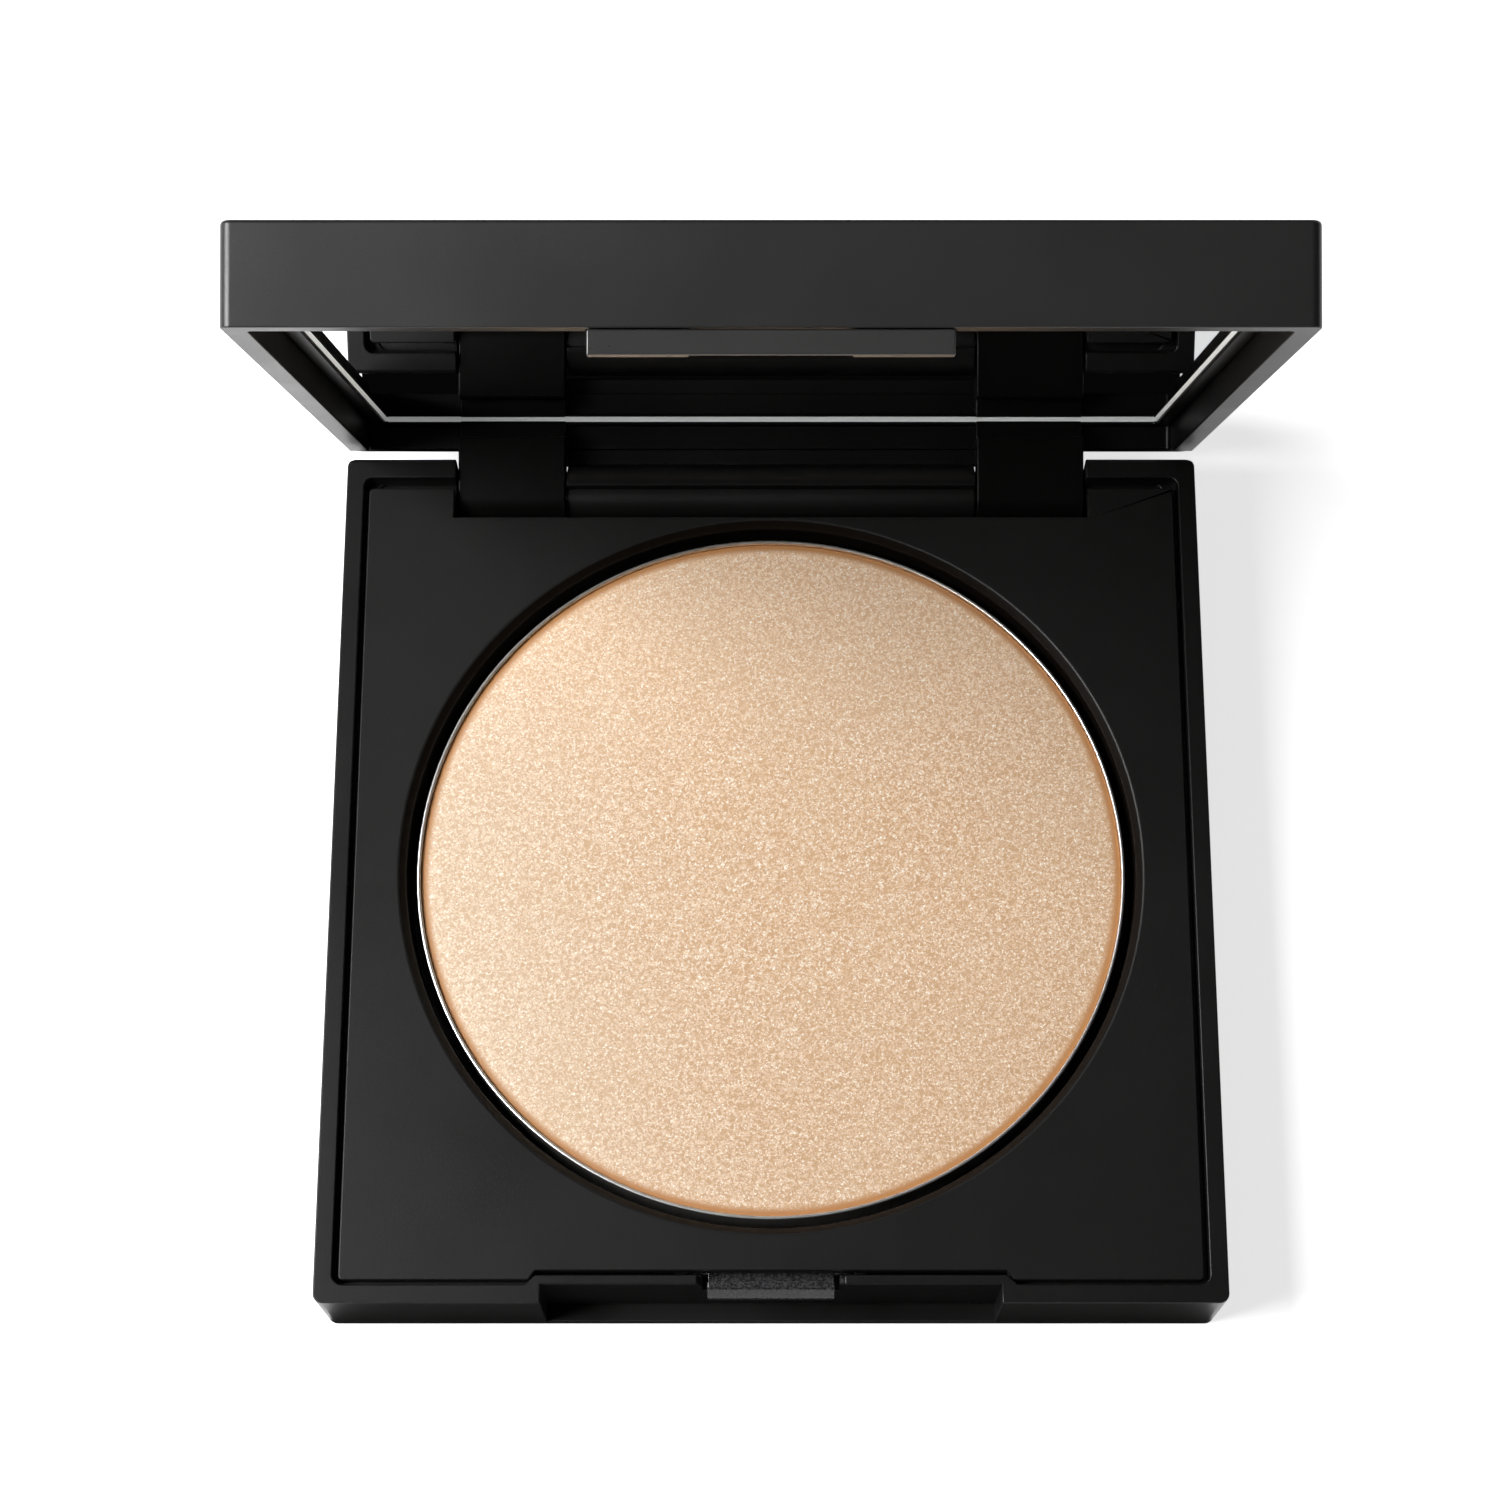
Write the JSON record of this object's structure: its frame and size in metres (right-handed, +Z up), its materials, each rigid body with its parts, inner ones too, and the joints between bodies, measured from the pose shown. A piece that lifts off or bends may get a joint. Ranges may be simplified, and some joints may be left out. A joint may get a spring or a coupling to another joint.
{
  "type": "powder compact",
  "caption": "Square hinged powder compact with a mirror in its lid, a round pan of pressed powder and a push catch at the front.",
  "frame": {"origin": "middle of the base's underside, which rests on the table", "axes": "+Z up; +X to the right of a user facing the open mirror; +Y towards the hinge, so the finger notch is at -Y"},
  "size_m": [0.073, 0.0821, 0.0777],
  "materials": {
    "case_plastic": "satin, fine grain",
    "insert_plastic": "satin, fine grain",
    "pan_metal": "bright",
    "powder": "pressed powder with a fine shimmer",
    "adhesive": "matt",
    "catch_plastic": "gloss",
    "pin_steel": "bright",
    "label": "matt film",
    "mirror": "silvered glass",
    "pad_foam": "foam"
  },
  "bodies": {
    "base": {"base_shell": "case_plastic", "insert_plate": "insert_plastic", "powder_pan": "pan_metal", "pressed_powder": "powder", "pan_adhesive": "adhesive", "catch_spring": "pin_steel", "hinge_pin_left": "pin_steel", "hinge_pin_right": "pin_steel", "base_label": "label"},
    "latch": {"latch_catch": "catch_plastic"},
    "lid": {"lid_shell": "case_plastic", "mirror_frame": "case_plastic", "mirror_glass": "mirror", "mirror_pad": "pad_foam"}
  },
  "joints": [
    {"name": "lid_hinge", "type": "hinge", "parent": "base", "child": "lid", "pos_m": [0, 0.0343, 0.0067], "axis": [-1, 0, 0], "range_deg": [-73, 27]},
    {"name": "catch_press", "type": "slide", "parent": "base", "child": "latch", "axis": [0, 1, 0], "range_m": [0, 0.00045], "stiffness_N_per_m": 1500, "springref_m": -0.0002, "deforming": ["catch_spring"]}
  ]
}
